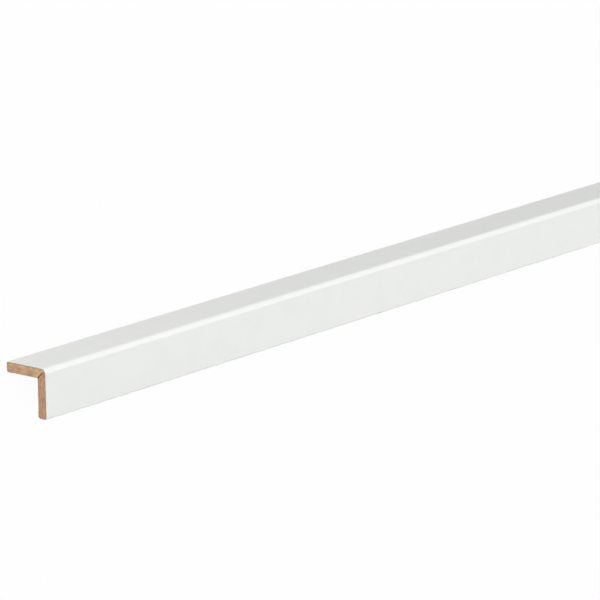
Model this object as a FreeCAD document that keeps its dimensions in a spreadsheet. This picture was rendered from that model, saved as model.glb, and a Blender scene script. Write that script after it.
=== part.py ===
import FreeCAD, Part
import math
import os
import Sketcher

# Corner guard moulding: two strips of fibreboard, mitred and glued at a right angle, in one wrap of white
# foil that covers the outer faces, goes round the free edges and ends a little way onto the inner faces.
# It lies on the floor as a tent, on the inner arrises of its two free edges. +Y runs along its length and
# +Z up through its corner. The origin is on the floor, at the middle of its length.

# Every size is in millimetres.
SIZES = {
    "stock_length": 2400.0,  # as sold, sawn square at both ends
    "leg_width": 28.0,  # each leg, from the outer face of the other one to its own free edge
    "board_thickness": 5.5,
    "foil_thickness": 0.3,
    "corner_radius": 3.0,  # outside of the foil, along the corner
    "outer_arris_radius": 1.2,  # outside of the foil, where a free edge meets the outer face
    "inner_arris_radius": 1.5,  # outside of the foil, where a free edge meets the inner face
    "foil_lap": 4.0,  # from the free edge to where the foil ends on the inner face
    "glue_width": 0.7,  # across the glue line, where it opens into the inner corner
    "glue_depth": 4.6,  # from the inner corner to where the glue line closes, along the mitre
}

# The section is drawn with the sharp outer corner at the origin, one leg along X and one along Z, and is
# then turned so that this corner points up.
CORNER_UP = 135.0  # degrees about Y

LEG = "Sizes.leg_width"
FOIL = "Sizes.foil_thickness"
CORNER_ROUND = "Sizes.corner_radius"
OUTER_ROUND = "Sizes.outer_arris_radius"
INNER_ROUND = "Sizes.inner_arris_radius"

BOARD_BACK = f"(Sizes.board_thickness + {FOIL})"  # depth of a board's bare inner face
LAP_BACK = f"({BOARD_BACK} + {FOIL})"  # depth of the foil that laps onto that face
BOARD_EDGE = f"({LEG} - {FOIL})"  # a board's own free edge, under the foil
LAP_END = f"({LEG} - Sizes.foil_lap)"
GLUE_TIP = f"({BOARD_BACK} - Sizes.glue_depth / sqrt(2))"  # where the glue line closes, on the mitre
GLUE_FOOT = f"({BOARD_BACK} + Sizes.glue_width / sqrt(2))"  # where it opens, on each inner face

# Height of the sharp outer corner over the floor, which the rounded inner arrises touch.
CORNER_HEIGHT = f"({LEG} + {LAP_BACK} - 2 * {INNER_ROUND}) / sqrt(2) + {INNER_ROUND}"


def make_sheet(doc):
    sheet = doc.addObject("Spreadsheet::Sheet", "Sizes")
    for row, (name, size) in enumerate(SIZES.items(), start=1):
        sheet.set(f"A{row}", name)
        sheet.set(f"B{row}", str(size))
        sheet.setAlias(f"B{row}", name)
    doc.recompute()


def make_body(doc, label):
    body = doc.addObject("PartDesign::Body", label)
    body.Label = label
    turned = FreeCAD.Rotation(FreeCAD.Vector(0, 1, 0), CORNER_UP)
    body.Placement = FreeCAD.Placement(FreeCAD.Vector(0, 0, 0), turned)
    body.setExpression("Placement.Base.z", CORNER_HEIGHT)
    return body


def section_sketch(body, name):
    sketch = body.newObject("Sketcher::SketchObject", name)
    plane = next(f for f in body.Origin.OriginFeatures if f.Role == "XZ_Plane")
    sketch.AttachmentSupport = [(plane, "")]
    sketch.MapMode = "FlatFace"
    return sketch


def hold(sketch, kind, where, formula, name):
    """Adds a dimension whose value is the formula."""
    size = float(sketch.evalExpression(formula))
    index = sketch.addConstraint(Sketcher.Constraint(kind, *where, size))
    sketch.renameConstraint(index, name)
    sketch.setExpression(f"Constraints.{name}", formula)


def hold_point(sketch, point, corner, name):
    """Places a point of the sketch by a corner's two formulas. A coordinate of None lies on its axis."""
    root, across_axis, up_axis = (-1, 1), -1, -2
    for kind, formula, axis in (("DistanceX", corner[0], up_axis), ("DistanceY", corner[1], across_axis)):
        if formula is None:
            sketch.addConstraint(Sketcher.Constraint("PointOnObject", *point, axis))
        else:
            hold(sketch, kind, (*root, *point), formula, f"{name}_{kind[-1].lower()}")


def rounding_arc(here, into, out, radius):
    """An arc tangent to two sides that leave the corner `here` in the directions into and out. Returns the
    arc, its two ends in the order of the outline, and whether it starts at the first of them."""
    half = into.getAngle(out) / 2
    first = here + into * (radius / math.tan(half))
    last = here + out * (radius / math.tan(half))
    centre = here + (into + out).normalize() * (radius / math.sin(half))
    angles = [math.atan2(p.y - centre.y, p.x - centre.x) for p in (first, last)]
    runs_forward = (angles[1] - angles[0]) % (2 * math.pi) < math.pi
    start, end = angles if runs_forward else reversed(angles)
    circle = Part.Circle(centre, FreeCAD.Vector(0, 0, 1), radius)
    return Part.ArcOfCircle(circle, start, end), first, last, runs_forward


def draw_outline(sketch, corners):
    """Draws a closed outline through corners of (x, z, radius): formulas for the point where two sides meet
    and for the radius that rounds it, which is None where the corner is sharp."""
    spots = [
        FreeCAD.Vector(*(0.0 if f is None else float(sketch.evalExpression(f)) for f in corner[:2]), 0)
        for corner in corners
    ]
    count = len(corners)
    leaves = list(spots)  # where the outline leaves each corner, and where it comes to it
    comes = list(spots)
    arcs = {}
    for i, (_, _, radius) in enumerate(corners):
        if radius is None:
            continue
        into = (spots[i - 1] - spots[i]).normalize()
        out = (spots[(i + 1) % count] - spots[i]).normalize()
        arc, comes[i], leaves[i], forward = rounding_arc(
            spots[i], into, out, float(sketch.evalExpression(radius))
        )
        arcs[i] = (arc, forward)
    sides = [
        sketch.addGeometry(Part.LineSegment(leaves[i], comes[(i + 1) % count])) for i in range(count)
    ]
    start, end = 1, 2
    for i, corner in enumerate(corners):
        name = f"corner_{i + 1}"
        arriving, leaving = sides[i - 1], sides[i]
        if corner[2] is None:
            sketch.addConstraint(Sketcher.Constraint("Coincident", arriving, end, leaving, start))
            hold_point(sketch, (leaving, start), corner, name)
            continue
        arc, forward = arcs[i]
        rounding = sketch.addGeometry(arc)
        first, last = (start, end) if forward else (end, start)
        sketch.addConstraint(Sketcher.Constraint("Tangent", arriving, end, rounding, first))
        sketch.addConstraint(Sketcher.Constraint("Tangent", rounding, last, leaving, start))
        hold(sketch, "Radius", (rounding,), corner[2], f"{name}_radius")
        meeting = sketch.addGeometry(Part.Point(spots[i]), True)
        for side in (arriving, leaving):
            sketch.addConstraint(Sketcher.Constraint("PointOnObject", meeting, start, side))
        hold_point(sketch, (meeting, start), corner, name)


def pad_length(body, sketch, name):
    pad = body.newObject("PartDesign::Pad", name)
    pad.Profile = sketch
    pad.SideType = "Symmetric"
    pad.setExpression("Length", "Sizes.stock_length")
    sketch.Visibility = False


def make_board(doc, label, swapped):
    """One strip: the angle's section, cut along the mitre and relieved there for half of the glue line.
    The strip along X stays, or the one along Z where swapped is true."""
    body = make_body(doc, label)
    angle = section_sketch(body, f"{label}_angle")
    draw_outline(
        angle,
        [
            (FOIL, FOIL, f"{CORNER_ROUND} - {FOIL}"),
            (BOARD_EDGE, FOIL, f"{OUTER_ROUND} - {FOIL}"),
            (BOARD_EDGE, BOARD_BACK, f"{INNER_ROUND} - {FOIL}"),
            (BOARD_BACK, BOARD_BACK, None),
            (BOARD_BACK, BOARD_EDGE, f"{INNER_ROUND} - {FOIL}"),
            (FOIL, BOARD_EDGE, f"{OUTER_ROUND} - {FOIL}"),
        ],
    )
    pad_length(body, angle, f"{label}_pad")

    # The mitre cut takes the other strip away, all round its outside.
    other_strip = [
        (None, None, None),
        (GLUE_TIP, GLUE_TIP, None),
        (GLUE_FOOT, BOARD_BACK, None),
        (GLUE_FOOT, LEG, None),
        (None, LEG, None),
    ]
    if swapped:
        other_strip = [(z, x, radius) for x, z, radius in other_strip]
    mitre = section_sketch(body, f"{label}_mitre")
    draw_outline(mitre, other_strip)
    cut = body.newObject("PartDesign::Pocket", f"{label}_mitre_cut")
    cut.Profile = mitre
    cut.SideType = "Symmetric"
    cut.Type = "ThroughAll"
    mitre.Visibility = False
    return body


def make_foil(doc):
    """One skin of even thickness, from the lap on one inner face, over the corner, to the other lap."""
    body = make_body(doc, "white_foil")
    skin = section_sketch(body, "foil_skin")
    draw_outline(
        skin,
        [
            (None, None, CORNER_ROUND),
            (LEG, None, OUTER_ROUND),
            (LEG, LAP_BACK, INNER_ROUND),
            (LAP_END, LAP_BACK, None),
            (LAP_END, BOARD_BACK, None),
            (BOARD_EDGE, BOARD_BACK, f"{INNER_ROUND} - {FOIL}"),
            (BOARD_EDGE, FOIL, f"{OUTER_ROUND} - {FOIL}"),
            (FOIL, FOIL, f"{CORNER_ROUND} - {FOIL}"),
            (FOIL, BOARD_EDGE, f"{OUTER_ROUND} - {FOIL}"),
            (BOARD_BACK, BOARD_EDGE, f"{INNER_ROUND} - {FOIL}"),
            (BOARD_BACK, LAP_END, None),
            (LAP_BACK, LAP_END, None),
            (LAP_BACK, LEG, INNER_ROUND),
            (None, LEG, OUTER_ROUND),
        ],
    )
    pad_length(body, skin, "foil_pad")
    return body


def make_glue(doc):
    """The glue line: a wedge in the mitre, widest at the inner corner, which it just bridges."""
    body = make_body(doc, "mitre_glue")
    wedge = section_sketch(body, "glue_wedge")
    draw_outline(
        wedge,
        [
            (GLUE_TIP, GLUE_TIP, None),
            (GLUE_FOOT, BOARD_BACK, None),
            (BOARD_BACK, GLUE_FOOT, None),
        ],
    )
    pad_length(body, wedge, "glue_pad")
    return body


def check(doc, parts):
    for item in doc.Objects:
        if {"Invalid", "Error"} & set(item.State):
            raise RuntimeError(f"{item.Name} failed: {item.State}")
    for part in parts:
        if part.Shape.isNull() or not part.Shape.isValid() or len(part.Shape.Solids) != 1:
            raise RuntimeError(f"{part.Label} is not one valid solid")


def write(parts):
    os.makedirs("parts", exist_ok=True)
    for part in parts:
        part.Shape.exportStep(f"parts/{part.Label}.step")


def main():
    doc = FreeCAD.newDocument("corner_guard_moulding")
    make_sheet(doc)
    parts = [
        make_board(doc, "mdf_leg_left", swapped=False),
        make_board(doc, "mdf_leg_right", swapped=True),
        make_foil(doc),
        make_glue(doc),
    ]
    doc.recompute()
    check(doc, parts)
    write(parts)


main()
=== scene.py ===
import math

import bmesh
import bpy
from mathutils import Matrix, Quaternion, Vector, noise


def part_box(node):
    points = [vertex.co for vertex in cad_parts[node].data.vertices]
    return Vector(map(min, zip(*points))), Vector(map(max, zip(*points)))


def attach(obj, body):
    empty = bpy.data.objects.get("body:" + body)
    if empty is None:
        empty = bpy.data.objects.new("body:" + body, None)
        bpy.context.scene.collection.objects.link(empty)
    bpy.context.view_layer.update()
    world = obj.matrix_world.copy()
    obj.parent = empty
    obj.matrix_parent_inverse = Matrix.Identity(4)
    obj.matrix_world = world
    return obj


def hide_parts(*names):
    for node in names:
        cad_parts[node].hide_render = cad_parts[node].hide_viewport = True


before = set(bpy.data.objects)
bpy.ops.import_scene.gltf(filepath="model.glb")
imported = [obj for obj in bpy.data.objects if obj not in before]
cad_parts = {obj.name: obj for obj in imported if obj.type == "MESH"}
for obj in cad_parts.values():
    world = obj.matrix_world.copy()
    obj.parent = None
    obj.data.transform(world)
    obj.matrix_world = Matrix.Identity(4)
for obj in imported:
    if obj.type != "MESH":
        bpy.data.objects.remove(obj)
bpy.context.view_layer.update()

# Corner guard moulding: two mitred strips of fibreboard in one wrap of white foil. It lies as a tent, with
# +Y along its length, away from the camera, and +Z up through its corner. Lengths are in metres.

MM = 0.001

LEG = 28.0 * MM  # each leg, from the outer face of the other one to its own free edge
BOARD = 5.5 * MM
FOIL = 0.3 * MM
FOIL_LAP = 4.0 * MM  # how far the foil comes back on each inner face
CORNER_ROUND = 3.0 * MM
OUTER_ARRIS_ROUND = 1.2 * MM
INNER_ARRIS_ROUND = 1.5 * MM
GLUE_WIDTH = 0.7 * MM  # across the glue line, at the inner corner
GLUE_DEPTH = 4.6 * MM  # along the mitre

BOARD_BACK = BOARD + FOIL  # depth of the bare inner face
LAP_BACK = BOARD_BACK + FOIL
BOARD_EDGE = LEG - FOIL
LAP_END = LEG - FOIL_LAP
GLUE_TIP = BOARD_BACK - GLUE_DEPTH / math.sqrt(2)
GLUE_FOOT = BOARD_BACK + GLUE_WIDTH / math.sqrt(2)

foil_low, foil_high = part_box("white_foil")
NEAR_END, FAR_END = foil_low.y, foil_high.y

# The part rests on the rounded inner arrises of its free edges.
SHARP_CORNER_HEIGHT = (LEG + LAP_BACK - 2 * INNER_ARRIS_ROUND) / math.sqrt(2) + INNER_ARRIS_ROUND
GLUE_TOP = SHARP_CORNER_HEIGHT - GLUE_TIP * math.sqrt(2)

# A section is drawn with the sharp outer corner at the origin, the left leg along X and the right leg along
# Z, both depths counted from the outer faces. CORNER_UP turns it so that the corner points up.
TURN = math.radians(135)
CORNER_UP = Matrix.Translation((0, 0, SHARP_CORNER_HEIGHT)) @ Matrix.Rotation(TURN, 4, "Y")
SWAP_LEGS = Matrix(((0, 0, 1, 0), (0, 1, 0, 0), (1, 0, 0, 0), (0, 0, 0, 1)))

SAME_PLACE = 1e-6  # points nearer than this are in one place
WELD = 1e-7  # points nearer than this are merged, or count as on a cutting plane
SHARP_EDGE = math.radians(30)  # shading runs smoothly over edges that bend less

ARC_STEPS = 20  # in each rounded corner
SAW_PITCH = 0.45 * MM  # between the points of a sawn surface
SAW_RELIEF = 0.12 * MM  # from the highest fibre to the deepest tear
FIBRE_BUNDLE = 1.1 * MM
TEAR_NOISE = (0.9, 2.0, 4)  # how fast finer tears fade, how much finer each scale is, how many scales
TEAR_CONTRAST = 0.6
GLUE_STEPS = 400  # along the glue line
GLUE_SHRINK = 0.12 * MM  # at the most, along each leg
GLUE_SHRINK_MIDDLE = 0.6  # of the most, and the rest is ripples to either side of it
GLUE_RIPPLE = 20 * MM  # along the glue line's uneven side
GLUE_SET_BACK = 0.25 * MM  # of the glue behind each sawn end

# The camera is above the right leg and in front of the near end. It is rolled so that the left leg's outer
# face looks level and the right leg's upright.
CAMERA_PLACE = Vector((0.65365, -2.82800, 1.52133))
CAMERA_AIM = Vector((0.04568, -1.10770, 0.11677))
CAMERA_ROLL = math.radians(42.684)
LENS = 262.43  # mm, on a sensor 36 mm wide

FLOOR_SIZE = 60.0
FLOOR_WHITENESS = 0.97  # how much of the floor's look is plain white, and the rest is lit paint
ROOM_LIGHT = 0.1
SOFTBOXES = [  # name, place, aim, width, length, watts
    ("overhead_softbox", (1.15, 0.2, 2.45), (0.0, 0.2, 0.0), 1.0, 6.0, 89.5),
    ("back_left_softbox", (-1.8, 2.6, 2.5), (0.0, -1.0, 0.0), 0.75, 1.2, 24.0),
    ("front_softbox", (-0.3, -5.0, 1.6), (0.0, -1.2, 0.0), 1.5, 1.5, 80.0),
    ("near_left_softbox", (-0.62, -1.75, 0.38), (0.0, -1.2, 0.0), 0.3, 0.3, 1.9),
]


# Colours and nodes

# The sawn board's colours from its outer skin, at 0, to its inner one. The two strips are from different
# sheets, and the right one's is a little darker and redder.
SKIN_TO_SKIN = {
    -1: [(0.0, "#D4B496"), (0.28, "#DCB490"), (0.5, "#D9AE86"), (0.72, "#D4AF8E"), (1.0, "#D2B598")],
    1: [(0.0, "#CBA588"), (0.28, "#C99E7E"), (0.5, "#CA9F7F"), (0.72, "#CBA282"), (1.0, "#CAA487")],
}
WANDER = 0.5 * MM  # how far the marks on a sawn end stray to either side, at the most

# Where the grey rim and the glue's stain are still at full strength, and where they are gone.
RIM_FULL, RIM_GONE = 0.1 * MM, 0.8 * MM  # in from the board's outline
STAIN_FULL, STAIN_GONE = 0.3 * MM, 0.7 * MM  # out from the mitre
STAIN_TOP_FULL, STAIN_TOP_GONE = GLUE_TOP - 0.5 * MM, GLUE_TOP + 1.0 * MM  # up from the floor
CRUSHED_RAMP = 2.5 * MM  # out from the mitre; the crushed strip ends at three quarters of it

SMOOTHING = 6 * (1 - math.sqrt(0.5))  # of a smooth minimum, for each metre of its rounding's radius
MIX_FACTOR, MIX_A, MIX_B, MIX_RESULT = 0, 6, 7, 2  # sockets of a Mix node that mixes colours


def linear(srgb):
    """The linear colour of an sRGB hex value such as "#F0F1EE"."""
    def channel(value):
        return value / 12.92 if value <= 0.04045 else ((value + 0.055) / 1.055) ** 2.4
    return tuple(channel(int(srgb[i:i + 2], 16) / 255) for i in (1, 3, 5)) + (1.0,)


def per_mm(size):
    """The texture scale at which one cell of the pattern is this many millimetres long."""
    return 1 / (size * MM)


def node(tree, kind, inputs=None, stops=None, **options):
    """Adds a node. An input is a value, or another node's output to link to; stops are a ramp's places and
    their colours."""
    made = tree.nodes.new(f"ShaderNode{kind}")
    for name, value in options.items():
        setattr(made, name, value)
    for name, value in (inputs or {}).items():
        if isinstance(value, bpy.types.NodeSocket):
            tree.links.new(value, made.inputs[name])
        else:
            made.inputs[name].default_value = value
    if stops:
        ramp = made.color_ramp.elements
        while len(ramp) < len(stops):
            ramp.new(1.0)
        for stop, (place, colour) in zip(ramp, stops):
            stop.position = place
            stop.color = linear(colour)
    return made


def new_material(name):
    made = bpy.data.materials.new(name)
    made.use_nodes = True
    made.node_tree.nodes.clear()
    return made, made.node_tree


def finish_material(tree, shader):
    node(tree, "OutputMaterial", {"Surface": shader.outputs[0]})


# Materials


def satin_decor_foil():
    """White decor foil, calendered to a satin and pressed on by rollers: an even, slightly cool white with a
    soft broad sheen. The fibres under it print through as a faint unevenness, drawn coarser than the real
    0.2 mm so that it shows, and the rollers leave faint lines along the length."""
    material, tree = new_material("satin_decor_foil")
    place = node(tree, "TexCoord").outputs["Object"]
    along = node(tree, "Mapping", {"Vector": place, "Scale": (1, 0.02, 1)}).outputs[0]
    print_through = node(tree, "TexNoise", {"Vector": place, "Scale": per_mm(0.9), "Detail": 3.0})
    roller_lines = node(tree, "TexNoise", {"Vector": along, "Scale": per_mm(1.6), "Detail": 2.0})
    cloud = node(tree, "TexNoise", {"Vector": place, "Scale": per_mm(14), "Detail": 2.0})
    white = node(tree, "ValToRGB", {"Fac": cloud.outputs["Fac"]},
                 stops=[(0.3, "#EEF0ED"), (0.7, "#F1F2EF")])
    sheen = node(tree, "MapRange", {"Value": print_through.outputs["Fac"], "To Min": 0.34, "To Max": 0.42})
    lines = node(tree, "Bump", {"Height": roller_lines.outputs["Fac"], "Distance": 0.004 * MM})
    relief = node(tree, "Bump", {"Height": print_through.outputs["Fac"], "Distance": 0.006 * MM,
                                 "Normal": lines.outputs[0]})
    shader = node(tree, "BsdfPrincipled", {
        "Base Color": white.outputs[0], "Roughness": sheen.outputs[0], "IOR": 1.5,
        "Normal": relief.outputs[0],
    })
    finish_material(tree, shader)
    return material


def cut_foil_edge():
    """The foil's own thickness where the saw went through it: cream paper and adhesive, matt, uneven and
    smeared with wood dust."""
    material, tree = new_material("cut_foil_edge")
    place = node(tree, "TexCoord").outputs["Object"]
    smear = node(tree, "TexNoise", {"Vector": place, "Scale": per_mm(1.5), "Detail": 2.0})
    cream = node(tree, "ValToRGB", {"Fac": smear.outputs["Fac"]},
                 stops=[(0.35, "#C4AF98"), (0.6, "#EADFD0")])
    relief = node(tree, "Bump", {"Height": smear.outputs["Fac"], "Distance": 0.02 * MM})
    shader = node(tree, "BsdfPrincipled", {
        "Base Color": cream.outputs[0], "Roughness": 0.7, "IOR": 1.5, "Normal": relief.outputs[0],
    })
    finish_material(tree, shader)
    return material


def section_place(tree, side):
    """Object coordinates turned back into the section: Z is the depth from the leg's outer face, and X runs
    along the leg. The left leg's side is -1 and the right leg's is 1."""
    turn = TURN * side
    corner = Matrix.Rotation(turn, 3, "Y") @ Vector((0, 0, SHARP_CORNER_HEIGHT))
    place = node(tree, "TexCoord").outputs["Object"]
    turned_back = node(tree, "Mapping", {"Vector": place, "Location": -corner, "Rotation": (0, turn, 0)})
    return turned_back.outputs[0]


def sawn_fibreboard(name, side):
    """Medium-density fibreboard, sawn across: matt orange-brown. A grey rim runs round its edge, and torn
    fibre bundles streak it along the leg. The bundles are drawn 0.85 mm thick and 4 mm long, where most are
    finer, so that they show. Glue has stained it dark beside the mitre, and beyond the stain the left
    board's fibres are crushed to a paler strip."""
    material, tree = new_material(name)
    place = section_place(tree, side)
    stretched = node(tree, "Mapping", {"Vector": place, "Scale": (0.22, 1, 1)}).outputs[0]
    bundles = node(tree, "TexNoise", {"Vector": stretched, "Scale": per_mm(0.85), "Detail": 4.0})
    fibres = node(tree, "TexNoise", {"Vector": stretched, "Scale": per_mm(0.35), "Detail": 3.0})
    patches = node(tree, "TexNoise", {"Vector": place, "Scale": per_mm(3.5), "Detail": 2.0})

    section = node(tree, "SeparateXYZ", {"Vector": place}).outputs
    depth = section["Z"]
    wander = node(tree, "MapRange", {"Value": bundles.outputs["Fac"], "To Min": -WANDER, "To Max": WANDER})
    uneven = node(tree, "Math", {0: depth, 1: wander.outputs[0]}, operation="ADD")
    through = node(tree, "MapRange", {"Value": uneven.outputs[0], "From Min": FOIL, "From Max": BOARD_BACK})
    brown = node(tree, "ValToRGB", {"Fac": through.outputs[0]}, stops=SKIN_TO_SKIN[side]).outputs[0]
    for pattern, dark, light in (
        (bundles, "#DADBDC", "#FFFBF4"), (patches, "#ECE7E4", "#FFFFFF"), (fibres, "#DEDEDE", "#FFFFFF"),
    ):
        shade = node(tree, "ValToRGB", {"Fac": pattern.outputs["Fac"]}, stops=[(0.32, dark), (0.62, light)])
        brown = node(tree, "Mix", {MIX_FACTOR: 1.0, MIX_A: brown, MIX_B: shade.outputs[0]},
                     data_type="RGBA", blend_type="MULTIPLY").outputs[MIX_RESULT]

    # How far a point is inside the board's outline: off the outer skin, which goes round the corner, off
    # the inner skin and off the free edge. A smooth minimum rounds the contour at each arris.
    along = node(tree, "Math", {0: section["X"], 1: -side}, operation="MULTIPLY").outputs[0]
    inside = node(tree, "Math", {0: depth, 1: along, 2: SMOOTHING * CORNER_ROUND}, operation="SMOOTH_MIN")
    inside = node(tree, "Math", {0: inside.outputs[0], 1: FOIL}, operation="SUBTRACT")
    for limit, place_across, rounding in (
        (BOARD_EDGE, along, OUTER_ARRIS_ROUND), (BOARD_BACK, depth, INNER_ARRIS_ROUND),
    ):
        off = node(tree, "Math", {0: limit, 1: place_across}, operation="SUBTRACT")
        inside = node(tree, "Math", {0: inside.outputs[0], 1: off.outputs[0], 2: SMOOTHING * rounding},
                      operation="SMOOTH_MIN")
    inside = node(tree, "Math", {0: inside.outputs[0], 1: wander.outputs[0]}, operation="ADD")
    rim = node(tree, "MapRange", {
        "Value": inside.outputs[0], "From Min": RIM_GONE, "From Max": RIM_FULL, "To Max": 0.9,
    })
    brown = node(tree, "Mix", {MIX_FACTOR: rim.outputs[0], MIX_A: brown, MIX_B: linear("#968270")},
                 data_type="RGBA").outputs[MIX_RESULT]

    # The mitre is the plane X = 0 of the object, and the glue lies in its lower two thirds.
    object_place = node(tree, "SeparateXYZ", {"Vector": node(tree, "TexCoord").outputs["Object"]})
    off_mitre = node(tree, "Math", {0: object_place.outputs["X"]}, operation="ABSOLUTE")
    ragged = node(tree, "Math", {0: off_mitre.outputs[0], 1: wander.outputs[0]}, operation="ADD")
    if side < 0:
        crushed = node(tree, "ValToRGB", {
            "Fac": node(tree, "MapRange", {"Value": ragged.outputs[0], "From Max": CRUSHED_RAMP}).outputs[0],
        }, stops=[(0.2, "#B0B0B0"), (0.5, "#9A9A9A"), (0.75, "#000000")])
        brown = node(tree, "Mix", {MIX_FACTOR: crushed.outputs[0], MIX_A: brown, MIX_B: linear("#D6BA90")},
                     data_type="RGBA").outputs[MIX_RESULT]
    beside = node(tree, "MapRange", {
        "Value": ragged.outputs[0], "From Min": STAIN_GONE, "From Max": STAIN_FULL, "To Max": 0.85,
    })
    below = node(tree, "MapRange", {
        "Value": object_place.outputs["Z"], "From Min": STAIN_TOP_GONE, "From Max": STAIN_TOP_FULL,
    })
    soaked = node(tree, "Math", {0: beside.outputs[0], 1: below.outputs[0]}, operation="MULTIPLY")
    brown = node(tree, "Mix", {MIX_FACTOR: soaked.outputs[0], MIX_A: brown, MIX_B: linear("#7B5128")},
                 data_type="RGBA").outputs[MIX_RESULT]

    relief = node(tree, "Bump", {"Height": fibres.outputs["Fac"], "Distance": 0.05 * MM})
    shader = node(tree, "BsdfPrincipled", {
        "Base Color": brown, "Roughness": 0.9, "IOR": 1.5, "Normal": relief.outputs[0],
    })
    finish_material(tree, shader)
    return material


def sanded_fibreboard(name, side):
    """The board's bare inner face: pressed, then sanded, so it is smoother and more even than the sawn end,
    with fine dark fibres and faint sanding lines along the length."""
    material, tree = new_material(name)
    place = section_place(tree, side)
    along = node(tree, "Mapping", {"Vector": place, "Scale": (1, 0.01, 1)}).outputs[0]
    fibres = node(tree, "TexNoise", {"Vector": place, "Scale": per_mm(0.7), "Detail": 4.0})
    patches = node(tree, "TexNoise", {"Vector": place, "Scale": per_mm(9.0), "Detail": 3.0})
    lines = node(tree, "TexNoise", {"Vector": along, "Scale": per_mm(0.8), "Detail": 3.0})
    brown = node(tree, "ValToRGB", {"Fac": patches.outputs["Fac"]},
                 stops=[(0.3, "#B48A65"), (0.7, "#C39A74")])
    speckle = node(tree, "ValToRGB", {"Fac": fibres.outputs["Fac"]},
                   stops=[(0.32, "#C8C8C8"), (0.5, "#FFFFFF")])
    speckled = node(tree, "Mix", {MIX_FACTOR: 1.0, MIX_A: brown.outputs[0], MIX_B: speckle.outputs[0]},
                    data_type="RGBA", blend_type="MULTIPLY")
    relief = node(tree, "Bump", {"Height": lines.outputs["Fac"], "Distance": 0.02 * MM})
    shader = node(tree, "BsdfPrincipled", {
        "Base Color": speckled.outputs[MIX_RESULT], "Roughness": 0.75, "IOR": 1.5,
        "Normal": relief.outputs[0],
    })
    finish_material(tree, shader)
    return material


def set_glue():
    """Set brown wood glue: dark and dull, and darker where it is thick."""
    material, tree = new_material("set_glue")
    place = node(tree, "TexCoord").outputs["Object"]
    thickness = node(tree, "TexNoise", {"Vector": place, "Scale": per_mm(1.2), "Detail": 3.0})
    brown = node(tree, "ValToRGB", {"Fac": thickness.outputs["Fac"]},
                 stops=[(0.3, "#40280F"), (0.7, "#6A4722")])
    relief = node(tree, "Bump", {"Height": thickness.outputs["Fac"], "Distance": 0.05 * MM})
    shader = node(tree, "BsdfPrincipled", {
        "Base Color": brown.outputs[0], "Roughness": 0.65, "IOR": 1.45, "Normal": relief.outputs[0],
    })
    finish_material(tree, shader)
    return material


# Pieces


def on_sawn_end(vertex):
    return min(vertex.co.y - NEAR_END, FAR_END - vertex.co.y) < SAME_PLACE


def at_corner(vertex, x, z):
    """Whether the point lies on the long edge that stands at this corner of the section."""
    return abs(vertex.co.x - x) + abs(vertex.co.z - z) < SAME_PLACE


def extrude_length(mesh, outline):
    """Draws the section, its face or its edges, from the near end to the far end."""
    drawn = bmesh.ops.extrude_face_region(mesh, geom=outline, use_keep_orig=True)["geom"]
    far = [part for part in drawn if isinstance(part, bmesh.types.BMVert)]
    bmesh.ops.translate(mesh, verts=far, vec=(0, FAR_END - NEAR_END, 0))


def round_corners(mesh, spots, radius):
    """Rounds the long edges that stand at these corners of the section."""
    for x, z in spots:
        long_edge = [edge for edge in mesh.edges if all(at_corner(v, x, z) for v in edge.verts)]
        bmesh.ops.bevel(mesh, geom=long_edge, offset=radius, segments=ARC_STEPS, profile=0.5,
                        affect="EDGES", material=-1, clamp_overlap=False)


def everything(mesh):
    return [*mesh.verts, *mesh.edges, *mesh.faces]


def saw_ends(mesh):
    """Divides both ends into small cells and sinks their points by up to SAW_RELIEF, as a saw leaves fibres
    torn."""
    for across in (Vector((1, 0, 0)), Vector((0, 0, 1))):
        for step in range(1, math.ceil(LEG / SAW_PITCH)):
            ends = [face for face in mesh.faces if all(on_sawn_end(v) for v in face.verts)]
            edges = {edge for face in ends for edge in face.edges}
            vertices = {v for face in ends for v in face.verts}
            bmesh.ops.bisect_plane(mesh, geom=[*ends, *edges, *vertices], dist=WELD,
                                   plane_co=across * SAW_PITCH * step, plane_no=across)
    for vertex in [v for v in mesh.verts if on_sawn_end(v)]:
        torn = noise.fractal(vertex.co / FIBRE_BUNDLE, *TEAR_NOISE)
        inwards = 1 if vertex.co.y < 0 else -1
        vertex.co.y += inwards * SAW_RELIEF * min(max(0.5 + TEAR_CONTRAST * torn, 0.0), 1.0)


def stand_piece(mesh, name, nodes, long_material, end_material):
    """Turns a section's mesh corner up and hands it to the frame, in place of the nodes. Its two ends take
    the end material."""
    bmesh.ops.transform(mesh, matrix=CORNER_UP, verts=mesh.verts)
    for face in mesh.faces:
        face.material_index = int(abs(face.normal.y) > 0.5)
    data = bpy.data.meshes.new(name)
    mesh.to_mesh(data)
    mesh.free()
    data.shade_smooth()
    data.set_sharp_from_angle(angle=SHARP_EDGE)
    data.materials.append(long_material)
    data.materials.append(end_material)
    piece = bpy.data.objects.new(name, data)
    bpy.context.collection.objects.link(piece)
    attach(piece, "root")
    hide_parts(*nodes)


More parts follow.
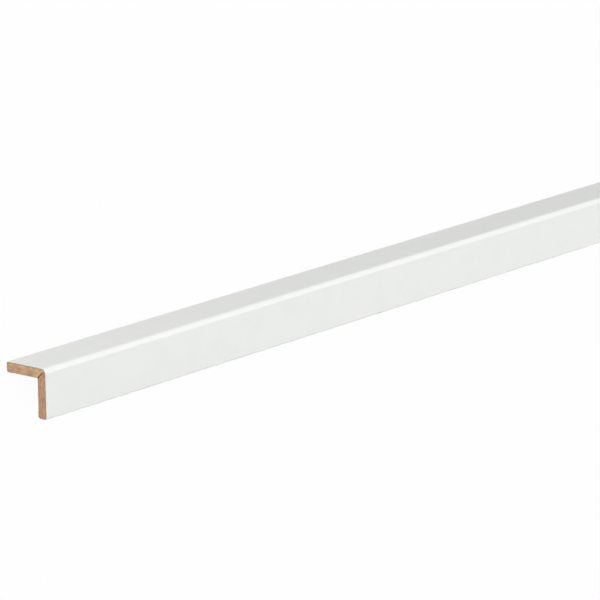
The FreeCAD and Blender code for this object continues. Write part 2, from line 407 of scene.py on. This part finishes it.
def foil_wrap():
    """The foil: one skin from the lap on the left leg's inner face, round its free edge and over the corner,
    to the lap on the right leg's."""
    mesh = bmesh.new()
    route = [
        (LAP_END, LAP_BACK), (LEG, LAP_BACK), (LEG, 0), (0, 0), (0, LEG), (LAP_BACK, LEG),
        (LAP_BACK, LAP_END),
    ]
    spots = [mesh.verts.new((x, NEAR_END, z)) for x, z in route]
    extrude_length(mesh, [mesh.edges.new(pair) for pair in zip(spots, spots[1:])])
    round_corners(mesh, [(0, 0)], CORNER_ROUND)
    round_corners(mesh, [(LEG, 0), (0, LEG)], OUTER_ARRIS_ROUND)
    round_corners(mesh, [(LEG, LAP_BACK), (LAP_BACK, LEG)], INNER_ARRIS_ROUND)
    bmesh.ops.remove_doubles(mesh, verts=mesh.verts, dist=WELD)
    bmesh.ops.recalc_face_normals(mesh, faces=mesh.faces)
    bmesh.ops.solidify(mesh, geom=mesh.faces, thickness=FOIL)
    saw_ends(mesh)
    stand_piece(mesh, "foil_wrap", ["white_foil"], satin_decor_foil(), cut_foil_edge())


def board_strip(name, node_name, side):
    """One board: the whole angle, cut along the mitre, with half of the glue line's wedge taken off the
    cut. It is made as the left strip, and the right one is its mirror image."""
    mesh = bmesh.new()
    angle = [
        (FOIL, FOIL), (BOARD_EDGE, FOIL), (BOARD_EDGE, BOARD_BACK), (BOARD_BACK, BOARD_BACK),
        (BOARD_BACK, BOARD_EDGE), (FOIL, BOARD_EDGE),
    ]
    section = mesh.faces.new([mesh.verts.new((x, NEAR_END, z)) for x, z in angle])
    extrude_length(mesh, [section])
    round_corners(mesh, [(FOIL, FOIL)], CORNER_ROUND - FOIL)
    round_corners(mesh, [(BOARD_EDGE, FOIL)], OUTER_ARRIS_ROUND - FOIL)
    round_corners(mesh, [(BOARD_EDGE, BOARD_BACK)], INNER_ARRIS_ROUND - FOIL)
    bmesh.ops.bisect_plane(mesh, geom=everything(mesh), dist=WELD, plane_co=(0, 0, 0),
                           plane_no=(1, 0, -1), clear_inner=True)
    bmesh.ops.edgeloop_fill(mesh, edges=[edge for edge in mesh.edges if edge.is_boundary])
    bmesh.ops.bisect_plane(mesh, geom=everything(mesh), dist=WELD, plane_co=(GLUE_TIP, 0, GLUE_TIP),
                           plane_no=(1, 0, 1))
    inner_corner = [v for v in mesh.verts if at_corner(v, BOARD_BACK, BOARD_BACK)]
    bmesh.ops.translate(mesh, verts=inner_corner, vec=(GLUE_FOOT - BOARD_BACK, 0, 0))
    if side > 0:
        bmesh.ops.transform(mesh, matrix=SWAP_LEGS, verts=mesh.verts)
    bmesh.ops.remove_doubles(mesh, verts=mesh.verts, dist=WELD)
    bmesh.ops.recalc_face_normals(mesh, faces=mesh.faces)
    saw_ends(mesh)
    stand_piece(mesh, name, [node_name], sanded_fibreboard(f"{name}_sanded_face", side),
                sawn_fibreboard(f"{name}_sawn_end", side))


def glue_line():
    """The glue: a long wedge in the mitre. It shrank as it set, so its wide side is uneven and lies a little
    behind the inner corner, and it stops short of the sawn ends."""
    mesh = bmesh.new()
    wedge = [(GLUE_TIP, GLUE_TIP), (GLUE_FOOT, BOARD_BACK), (BOARD_BACK, GLUE_FOOT)]
    section = mesh.faces.new([mesh.verts.new((x, NEAR_END, z)) for x, z in wedge])
    extrude_length(mesh, [section])
    bmesh.ops.recalc_face_normals(mesh, faces=mesh.faces)
    long_edges = [edge for edge in mesh.edges if edge.calc_length() > LEG]
    bmesh.ops.subdivide_edges(mesh, edges=long_edges, cuts=GLUE_STEPS - 1, use_grid_fill=True)
    for vertex in mesh.verts:
        on_wide_side = vertex.co.x + vertex.co.z > 2 * GLUE_TIP + GLUE_WIDTH
        if on_wide_side:
            ripple = (1 - GLUE_SHRINK_MIDDLE) * noise.noise(vertex.co / GLUE_RIPPLE)
            shrunk = GLUE_SHRINK * (GLUE_SHRINK_MIDDLE + ripple)
            vertex.co += Vector((-shrunk, 0, -shrunk))
        if on_sawn_end(vertex):
            vertex.co.y += math.copysign(GLUE_SET_BACK, -vertex.co.y)
    glue = set_glue()
    stand_piece(mesh, "glue_line", ["mitre_glue"], glue, glue)


# Studio


def stage_floor():
    """A plain pale floor that is far wider than any view. It looks white to the camera and in reflections,
    and keeps a faint shadow."""
    mesh = bmesh.new()
    bmesh.ops.create_grid(mesh, x_segments=1, y_segments=1, size=FLOOR_SIZE / 2)
    data = bpy.data.meshes.new("studio_floor")
    mesh.to_mesh(data)
    mesh.free()
    floor = bpy.data.objects.new("studio_floor", data)
    bpy.context.collection.objects.link(floor)
    material, tree = new_material("pale_floor_paint")
    paint = node(tree, "BsdfDiffuse", {"Color": linear("#D8D8D8")})
    glow = node(tree, "Emission", {"Color": linear("#FFFFFF"), "Strength": 1.0})
    share = node(tree, "Math", {0: seen_directly(tree), 1: FLOOR_WHITENESS}, operation="MULTIPLY")
    finish_material(tree, node(tree, "MixShader", {
        0: share.outputs[0], 1: paint.outputs[0], 2: glow.outputs[0],
    }))
    material.cycles.emission_sampling = "NONE"  # the glow lights nothing, so it isn't searched for light
    data.materials.append(material)


def seen_directly(tree):
    """1 for the camera's own rays and those that come by a reflection or through glass, else 0."""
    path = node(tree, "LightPath").outputs
    seen = node(tree, "Math", {0: path["Is Camera Ray"], 1: path["Is Glossy Ray"]}, operation="MAXIMUM")
    return node(tree, "Math", {0: seen.outputs[0], 1: path["Is Transmission Ray"]},
                operation="MAXIMUM").outputs[0]


def white_surroundings():
    """Even light from all round, which looks white where it is seen directly."""
    world = bpy.data.worlds.new("studio")
    bpy.context.scene.world = world
    world.use_nodes = True
    tree = world.node_tree
    tree.nodes.clear()
    light = node(tree, "Background", {"Color": linear("#FFFFFF"), "Strength": ROOM_LIGHT})
    white = node(tree, "Background", {"Color": linear("#FFFFFF"), "Strength": 1.0})
    mixed = node(tree, "MixShader", {0: seen_directly(tree), 1: light.outputs[0], 2: white.outputs[0]})
    node(tree, "OutputWorld", {"Surface": mixed.outputs[0]})


def softbox(name, place, aim, width, length, watts):
    """A rectangular soft light. Its length lies level, and it looks from its place at the aim."""
    lamp = bpy.data.lights.new(name, "AREA")
    lamp.shape = "RECTANGLE"
    lamp.size = width
    lamp.size_y = length
    lamp.energy = watts
    box = bpy.data.objects.new(name, lamp)
    bpy.context.collection.objects.link(box)
    box.location = place
    box.rotation_mode = "QUATERNION"
    box.rotation_quaternion = (Vector(aim) - Vector(place)).to_track_quat("-Z", "X")


def camera():
    made = bpy.data.cameras.new("camera")
    made.lens = LENS
    made.clip_start = 0.1
    made.clip_end = 100.0
    stand = bpy.data.objects.new("camera", made)
    bpy.context.collection.objects.link(stand)
    stand.location = CAMERA_PLACE
    stand.rotation_mode = "QUATERNION"
    level = (CAMERA_AIM - CAMERA_PLACE).to_track_quat("-Z", "Y")
    stand.rotation_quaternion = level @ Quaternion((0, 0, 1), CAMERA_ROLL)
    bpy.context.scene.camera = stand


foil_wrap()
board_strip("board_left", "mdf_leg_left", -1)
board_strip("board_right", "mdf_leg_right", 1)
glue_line()

stage_floor()
white_surroundings()
for box in SOFTBOXES:
    softbox(*box)
camera()
bpy.context.scene.view_settings.view_transform = "Standard"
